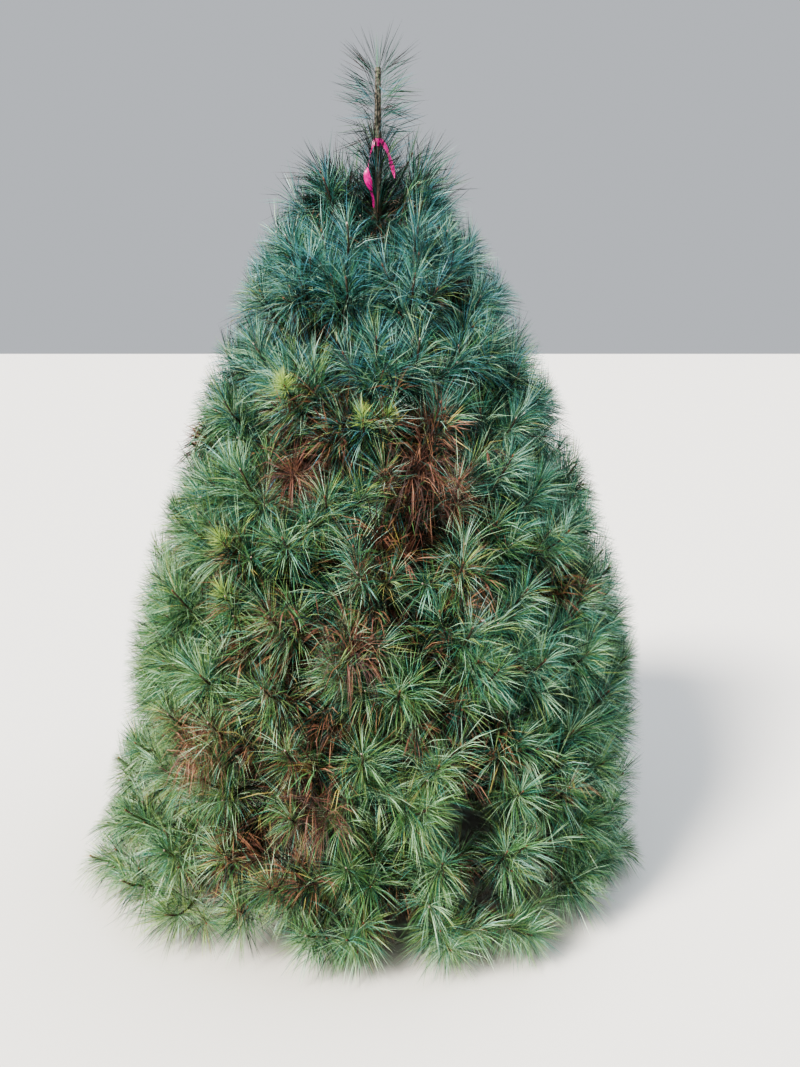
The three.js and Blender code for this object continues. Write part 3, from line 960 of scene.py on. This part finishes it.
def growLeading(whorl, heart, axis, root):
    # A twig from the bough with its leading shoot, and all that stands on it
    gap = np.linalg.norm(heart - root)
    tipHeading = unit(axis + up * leading["upturn"][whorl] * (1 - axis[2]))
    tip = heart + tipHeading * chance.uniform(*leading["tipLength"])
    longest, share = leading["bend"]
    control = heart - tipHeading * min(longest, gap * share)
    control[2] = max(control[2], leading["bendLowest"])
    path = (root, control, tip)
    length = gap + leading["meanTip"]
    dry = drynessAt(heart)
    node = min(chance.uniform(*leading["node"]) / length, leading["nodeShare"])
    tint = None
    if not crossesRibbon(path) and not crowdsLeader(tip, topShoots["heights"][0]):
        twigs.along(path, leading["twigSteps"], leading["twigRadii"])
        tint = tintAt(heart)
        growTip(whorl, path, node, length, dry, tint)
    olderFrom = max(leading["olderStart"], 1 - node - leading["olderLength"] / length)
    older = bezier(path, [olderFrom, (olderFrom + 1 - node) / 2, 1 - node])
    spray(whorl, older, 0, leading["olderBundles"], innerTint(heart, dry), **leading["olderLook"])
    growSides(whorl, path, node, axis, tint)
    for _ in range(innerShoot["count"]):
        origin = bezier(path, [chance.uniform(*innerShoot["onTwig"])])[0]
        outward = directionOf(math.atan2(origin[1], origin[0]), 0) * innerShoot["outward"]
        growDry(innerShoot, whorl, origin, unit(chance.normal(0, 1, 3) + outward))


for space in spaces:
    for heart, axis, root in leadingShoots(space):
        growLeading(space["whorl"], heart, axis, root)
    for index in range(deadTwig["count"]):
        origin = limbPoint(space, mix(*deadTwig["onBough"], (index + chance.random()) / deadTwig["count"]))
        heading = chance.normal(0, 1, 3) * (1, 1, deadTwig["flatness"])
        heading = unit(heading + directionOf(space["angle"], 0) * deadTwig["outward"])
        growDry(deadTwig, space["whorl"], origin, heading)
for whorl, (height, rise, *_) in enumerate(crown["whorls"][:topWhorl]):
    for index in range(trunkTwig["count"]):
        direction = (index + chance.random()) / trunkTwig["count"] * fullTurn
        level = height + chance.uniform(*trunkTwig["heights"])
        origin = onTrunk(level, direction, trunkTwig["root"])
        heading = directionOf(direction, math.radians(rise + chance.uniform(*trunkTwig["tilt"])))
        growDry(trunkTwig, whorl, origin, heading)

topPaths = []
ring = [
    (mix(*topShoots["directions"], (index + 0.5) / topShoots["count"]), topShoots["heights"])
    for index in range(topShoots["count"])
]
ring += [(direction, topShoots["frontHeights"]) for direction in topShoots["frontDirections"]]
for direction, heights in ring:
    direction = math.radians(direction + chance.normal(0, topShoots["directionJitter"]))
    height = chance.uniform(*heights)
    outward = directionOf(direction, math.radians(chance.uniform(*topShoots["rise"])))
    origin = onTrunk(height, direction, topShoots["root"])
    size = chance.uniform(*topShoots["length"])
    topPath = grow(origin, outward, up * topShoots["upward"], size, topShoots["margin"])
    if topPath is not None:
        topPaths.append(topPath)
for height, tip in topShoots["tips"]:
    tip = np.array(tip, float)
    origin = trunkCentre(height)
    topPaths.append((origin, mix(origin, tip, 0.5) - up * topShoots["tipSag"], tip))
for topPath in topPaths:
    addBud(topPath)
    tint = mix(tintAt(topPath[2]), weightsOf["leader"], topShoots["leaderShare"])
    addShoot(topShoots, topWhorl, topPath, tint, twigs)
print("living shoots", len(buds))

# Late shoots with short pale needles, which stand on the tips of others
freshTips = {
    "seen": (  # direction and height
        (262, 1399), (247, 1408), (238, 1429), (228, 1075), (241, 962), (276, 1330),
    ),
    "unseen": 14,
    "heights": (250, 1800),  # of the unseen ones
    "along": np.array([(-12,), (8,), (26,)]),  # their start, middle and end from the tip that they stand on
    "whorlRise": 200,  # of a whorl's tips over its boughs
    "bundles": 56,
    "look": {"length": (34, 54), "spread": (72, 12), "droop": 0.1},
}
places = [onFace(*place) for place in freshTips["seen"]]
for _ in range(freshTips["unseen"]):
    places.append(onFace(chance.uniform(*dryPatches["directions"]), chance.uniform(*freshTips["heights"])))
for place in places:
    tip, heading = min(buds, key=lambda bud: np.linalg.norm(bud[0] - place))
    rises = [abs(whorl[0] + freshTips["whorlRise"] - tip[2]) for whorl in crown["whorls"]]
    late = tip + heading * freshTips["along"]
    spray(int(np.argmin(rises)), late, 0, freshTips["bundles"], weightsOf["fresh"], **freshTips["look"])
print("fresh tips", len(places))

# Brown shoots that show in the patches where the green ones died back
backing = {
    "count": 0.15,  # for each millimetre of the patch's radius
    "depth": (120, 240),
    "spread": 0.6,
    "screens": (  # places that light would shine through
        (-192, -350, 1165), (-232, -300, 1212), (424, -320, 905), (450, -120, 862), (450, -10, 855),
    ),
    "screenShoots": 8,
    "screenSpread": 34,
    "root": (0.35, 0.5),  # on the bough
    "onward": 50,
    "sag": 25,
    "radii": (3.6, 1.6),
    "steps": 6,
    "greenest": 0.8,
    "leafyLength": 170,
    "leafyFrom": 0.05,
    "bundles": 56,
    "look": {"length": (80, 112), "spread": (84, 30), "droop": 0.5, "width": 3},
}
fans = {  # shoots placed one by one, most of them dead with their dry needles standing
    "places": (  # direction, height and tint
        (284, 1275, "fan"), (281, 1225, "fan"), (263, 878, "fan"), (229, 605, "turning"), (260, 517, "fan"),
        (249, 1258, "fan"), (188, 1330, "plain"), (190, 1290, "plain"), (231, 590, "turning"),
    ),
    "count": 2,  # at each place
    "rise": 0.5,
    "headingJitter": 0.2,
    "depth": 70,
    "jitter": 16,
    "root": 0.6,
    "bend": 60,
    "radii": (4, 1.6),
    "steps": 8,
    "leafyFrom": 0,
    "leafyLength": 60,
    "bundles": 60,
    "look": {"length": (108, 140), "spread": (88, 50), "droop": 1.5, "width": 1.8},
}


def spaceAt(point):
    inner = point * (0.97, 0.97, 1)  # a little in from the crown's face
    inner[2] = max(inner[2], crown["groundGap"] + 1)
    return next((space for space in spaces if isInside(space, inner, 0)), None)


def growBrown(end, outward):
    # A brown shoot from the middle of its bough to that end
    space = spaceAt(end)
    if space is None:
        return
    start = limbPoint(space, chance.uniform(*backing["root"]))
    end = end + outward * backing["onward"]
    path = (start, mix(start, end, 0.6) - up * backing["sag"], end)
    tint = mix(weightsOf["brown"], weightsOf["old"], chance.uniform(0, backing["greenest"]))
    addShoot(backing, space["whorl"], path, tint)


for place, radius in patches:
    outward = unit(place * (1, 1, 0))
    beside = np.cross(up, outward)
    spread = radius * backing["spread"]
    for _ in range(int(radius * backing["count"])):
        end = place - outward * chance.uniform(*backing["depth"])
        end = end + beside * chance.normal(0, spread) + up * chance.normal(0, spread)
        growBrown(end, outward)
for place in np.array(backing["screens"], float):
    for _ in range(backing["screenShoots"]):
        growBrown(place + chance.normal(0, backing["screenSpread"], 3), unit(place * (1, 1, 0)))
for direction, height, tint in fans["places"]:
    place = onFace(direction, height)
    space = spaceAt(place)
    outward = directionOf(math.radians(direction), fans["rise"])
    for _ in range(fans["count"]):
        heading = unit(outward + chance.normal(0, fans["headingJitter"], 3))
        end = place - outward * fans["depth"] + chance.normal(0, fans["jitter"], 3)
        start = limbPoint(space, fans["root"])
        addShoot(fans, space["whorl"], (start, end - heading * fans["bend"], end), weightsOf[tint])
print("twigs and shoots", len(twigs.faces) + len(youngShoots.faces))

# Leader: long needles that rise and spread round the bare tip of the trunk
leader = {
    "parts": (  # from and to on the trunk, bundles, spread at the foot and at the tip, splay and width
        (1850, 2030, 220, (58, 34), 0.08, 1.6),
        (2068, 2239, 150, (96, 44), 0.09, 1.4),
    ),
    "look": {"stray": 20, "fascicle": 3, "length": (116, 148), "droop": 0, "curl": (0, 0.025)},
}
for low, high, bundles, spread, splay, width in leader["parts"]:
    path = (trunkCentre(low), trunkCentre((low + high) / 2), trunkCentre(high))
    look = {"spread": spread, "splay": splay, "width": width, **leader["look"]}
    spray(leaderWhorl, path, 0, bundles / thinning, weightsOf["leader"], **look)  # never thinned

# Needles are shortened where they would stand out of the crown, touch the ground or hide the ribbon
trimming = {
    "overReach": 14,  # past the crown's face
    "topFrom": 1900,
    "topOverReach": 70,
    "highest": 2110,
    "leaderReach": 146,
    "leaderHighest": 2346,
    "lowest": 5,
    "shortest": 0.3,
    "atRibbon": 0.5,
}


def shareTo(limit, base, tip):  # how much of each needle lies within the limit
    return np.where(tip > limit, (limit - base) / np.maximum(tip - base, 1), 1)


def withinReach(kites, isLeader):
    base, tip = kites[:, 0], kites[:, 3]
    overReach = np.where(tip[:, 2] > trimming["topFrom"], trimming["topOverReach"], trimming["overReach"])
    limit = reachAt(tip[:, 2], np.arctan2(tip[:, 1], tip[:, 0])) + overReach
    highest = trimming["highest"]
    if isLeader:
        limit = np.full_like(limit, trimming["leaderReach"])
        highest = trimming["leaderHighest"]
    share = shareTo(limit, np.hypot(base[:, 0], base[:, 1]), np.hypot(tip[:, 0], tip[:, 1]))
    share = np.minimum(share, shareTo(-trimming["lowest"], -base[:, 2], -tip[:, 2]))
    share = np.minimum(share, shareTo(highest, base[:, 2], tip[:, 2]))
    return shortened(kites, np.clip(share, trimming["shortest"], 1)[:, None, None])


def shortened(kites, share):
    return kites[:, :1] + (kites - kites[:, :1]) * share


# Waxy needles: a soft shine along each. The frosted and silvery shades are the needles' pale lines, made
# lighter still as painted highlight
waxyNeedle = {"IOR": 1.45, "Coat Weight": 0.1, "Coat Roughness": 0.35}
needleWax = [
    plain(f"waxy needle {name}", colour, {"Roughness": roughness, **waxyNeedle})
    for name, (colour, roughness) in shades.items()
]
total = 0
for whorl, parts in sprays.items():
    isLeader = whorl == leaderWhorl
    kites = withinReach(np.concatenate([part for part, _ in parts]), isLeader)
    shade = np.concatenate([part for _, part in parts])
    slot = "needles_leader"
    nodes = ["foliage_leader"]
    if not isLeader:
        slot = f"needles_whorl_{whorl + 1}"
        nodes = [f"foliage_{space['name']}" for space in spaces if space["whorl"] == whorl]
        crossing = hidesRibbon(kites).any(1)
        kites[crossing] = shortened(kites[crossing], trimming["atRibbon"])
        kept = ~hidesRibbon(kites).any(1) | (chance.random(len(kites)) < sight["leftOver"])
        kites, shade = kites[kept], shade[kept]
    for index, name in enumerate(shades):
        some = kites[shade == index]
        if not len(some):
            continue
        corner = np.arange(len(some))[:, None] * 4
        faces = np.concatenate([corner + [0, 1, 2], corner + [1, 3, 2]])
        total += dress(newMesh(f"{slot}_{name}", some.reshape(-1, 3), faces, needleWax[index]), nodes)
    print(slot, len(kites))
print("needle faces", total)


# Bark of the last years, red-brown and nearly smooth, so that shoots read as thin dark lines
twigBark = patterned("twig bark", "#2e2220", "#5b463a", 11, 2, 0.6, barkFinish)
shootBark = patterned("shoot bark", "#3d2a26", "#61463c", 8, 1.5, 0.3, {"Roughness": 0.6, "IOR": 1.5})
limbs = {"stems": (stems, boughBark), "twigs": (twigs, twigBark), "youngShoots": (youngShoots, shootBark)}
for name, (tubes, material) in limbs.items():
    print(name, dress(tubes.make(name, material), foliageNodes))

# Buds: reddish scaly tips at the ends of the shoots, and pale cut ends where the tree was clipped
bud = {
    "length": 11,
    "cutLength": 7,
    "radius": 2.9,
    "cutShare": 0.34,
    "seat": 2,  # depth in the end of its shoot
    "widest": 0.35,  # of its length
}
# Buds under a film of resin shine a little; cut twig ends are dull and pale
resin = {"Roughness": 0.45, "IOR": 1.54}
budScales = patterned("resinous bud scales", "#6e4032", "#a0654e", 4, 1, 0.3, resin)
cutEnd = patterned("cut twig wood", "#c9a89e", "#e6cdc4", 3, 1, 0.2, {"Roughness": 0.7, "IOR": 1.5})
buds = [(tip, heading) for tip, heading in buds if not hidesRibbon(tip + up * sight["needleHeight"])]
isCut = chance.random(len(buds)) < bud["cutShare"]


def addBuds(name, chosen, length, material):
    tips = np.array([tip for tip, _ in buds])[chosen]
    headings = np.array([heading for _, heading in buds])[chosen]
    side, over = frameAlong(headings)
    middle = tips + headings * length * bud["widest"]
    ring = [middle + bud["radius"] * outward for outward in (side, over, -side, -over)]
    points = np.stack([tips - headings * bud["seat"], *ring, tips + headings * length], 1)
    corners = [(0, 2, 1), (0, 3, 2), (0, 4, 3), (0, 1, 4), (5, 1, 2), (5, 2, 3), (5, 3, 4), (5, 4, 1)]
    start = np.arange(len(points))[:, None] * points.shape[1]
    faces = np.concatenate([start + corner for corner in corners])
    print(name, dress(newMesh(name, points.reshape(-1, 3), faces, material), foliageNodes))


addBuds("buds", ~isCut, bud["length"], budScales)
addBuds("cutEnds", isCut, bud["cutLength"], cutEnd)

# Flagging ribbon round the leader: a loop and two twisted tails, thin bright plastic with a soft shine
ribbon = {
    "colours": ("#c41a7c", "#f43aa6"),
    "loopHeight": 2057,
    "loopWidth": 20,
    "looseness": 1.5,
    "loopSteps": 40,
    "waves": ((0.8, 3), (3, 1), (0.1, 5)),  # depth and number, in the loop's radius, height and half width
    "tailSteps": 8,
    "tails": (  # x, y, z in millimetres from the leader's middle at the loop, width and twist in degrees
        ((8, -13, 2, 12, 10), (20, -17, -14, 13, 30), (30, -21, -36, 11, 45), (38, -25, -62, 12, 20),
         (43, -30, -82, 8, 0), (46, -33, -97, 3, -20)),
        ((-8, -13, 2, 10, -10), (-18, -18, -28, 6, -60), (-25, -22, -62, 6, -70), (-29, -25, -84, 17, -5),
         (-24, -28, -108, 22, 25), (-17, -31, -132, 12, 55), (-12, -34, -154, 7, 20), (-11, -36, -172, 4, 0)),
    ),
}


def smoothLine(points, steps):  # passes through every point
    points = np.array(points, float)
    ends = np.vstack([2 * points[0] - points[1], points, 2 * points[-1] - points[-2]])
    line = []
    for index in range(1, len(ends) - 2):
        before, a, b, after = ends[index - 1:index + 3]
        for t in np.arange(steps) / steps:
            line.append(0.5 * (2 * a + (b - before) * t + (2 * before - 5 * a + 4 * b - after) * t ** 2
                               + (3 * a - before - 3 * b + after) * t ** 3))
    return np.array(line + [points[-1]])


def tailEdges(tail):
    line = smoothLine(tail, ribbon["tailSteps"])
    places = trunkCentre(ribbon["loopHeight"]) + line[:, :3]
    headings = unit(np.gradient(places, axis=0))
    flat = unit(np.cross(headings, np.array([0, 1.0, 0])))
    twist = np.radians(line[:, 4:5])
    across = (np.cos(twist) * flat + np.sin(twist) * np.cross(flat, headings)) * line[:, 3:4] / 2
    return places - across, places + across


def loopEdges():
    turns = np.linspace(0, fullTurn, ribbon["loopSteps"] + 1)
    wave, heightWave, edgeWave = [depth * np.sin(number * turns) for depth, number in ribbon["waves"]]
    radius = trunkRadius(ribbon["loopHeight"]) + ribbon["looseness"] + wave
    loop = np.stack([radius * np.cos(turns), radius * np.sin(turns), heightWave], 1)
    loop = trunkCentre(ribbon["loopHeight"]) + loop
    half = ribbon["loopWidth"] / 2 * up
    return loop - half, loop + half * (1 + edgeWave)[:, None]


stripPoints = []
stripFaces = []
for low, high in (loopEdges(), *map(tailEdges, ribbon["tails"])):
    step = sum(map(len, stripPoints)) + np.arange(len(low) - 1)[:, None] * 2
    stripPoints.append(np.stack([low, high], 1).reshape(-1, 3))
    stripFaces += [step + [0, 2, 3], step + [0, 3, 1]]
# Thin rolled vinyl film: a soft shine over fine creases. Soft patches of darker and lighter pink are painted
# shade and painted highlight for the creases
vinyl = {"Roughness": 0.35, "IOR": 1.53}
flaggingTape = patterned("rolled vinyl tape", *ribbon["colours"], 14, 5, 1.2, vinyl)
ribbonPiece = newMesh("flaggingRibbon", np.concatenate(stripPoints), np.concatenate(stripFaces), flaggingTape)
print("ribbon", len(ribbonPiece.data.polygons))

# Stage: plain pale floor, soft even light from above and a broad key from the left
stage = {
    "floorSize": 300,
    "floorColour": "#d9d6d0",
    "skyColour": "#eef2f8",
    "skyStrength": 0.5,
    "suns": (  # name, where it shines from, strength, spread in degrees and colour
        ("key", (-3.2, -2.6, 4.0), 6.5, 16, "#fff9f2"),
        ("top", (1.6, 0.8, 4.6), 1.8, 50, "#e6f0ff"),
    ),
}
floorMaterial = plain("pale studio floor", stage["floorColour"], {"Roughness": 0.9})
bpy.ops.mesh.primitive_plane_add(size=stage["floorSize"], location=(0, 0, 0))
floor = bpy.context.object
floor.name = "floor"
floor.data.materials.append(floorMaterial)

world = bpy.data.worlds.new("soft sky")
bpy.context.scene.world = world
world.use_nodes = True
sky = world.node_tree.nodes["Background"]
sky.inputs["Color"].default_value = hexColour(stage["skyColour"])
sky.inputs["Strength"].default_value = stage["skyStrength"]
for name, place, strength, spread, colour in stage["suns"]:
    lamp = bpy.data.lights.new(name, "SUN")
    lamp.energy = strength
    lamp.angle = math.radians(spread)
    lamp.color = hexColour(colour)[:3]
    sun = bpy.data.objects.new(name, lamp)
    sun.rotation_euler = (-Vector(place)).to_track_quat("-Z", "Y").to_euler()
    bpy.context.scene.collection.objects.link(sun)
bpy.context.scene.view_settings.look = "AgX - High Contrast"

view = {
    "place": (0.052, -2.36, 1.52),  # in metres
    "pitch": 13.2,  # degrees down from level
    "sensor": 36,
    "focal": 801.6 / 1067,  # as a share of the picture's height
}
camera = bpy.data.objects.new("camera", bpy.data.cameras.new("camera"))
camera.data.sensor_width = view["sensor"]
camera.data.lens = view["focal"] * view["sensor"]
camera.location = view["place"]
camera.rotation_euler = (math.radians(90 - view["pitch"]), 0, 0)
bpy.context.scene.collection.objects.link(camera)
bpy.context.scene.camera = camera
print("stage", [light[0] for light in stage["suns"]])
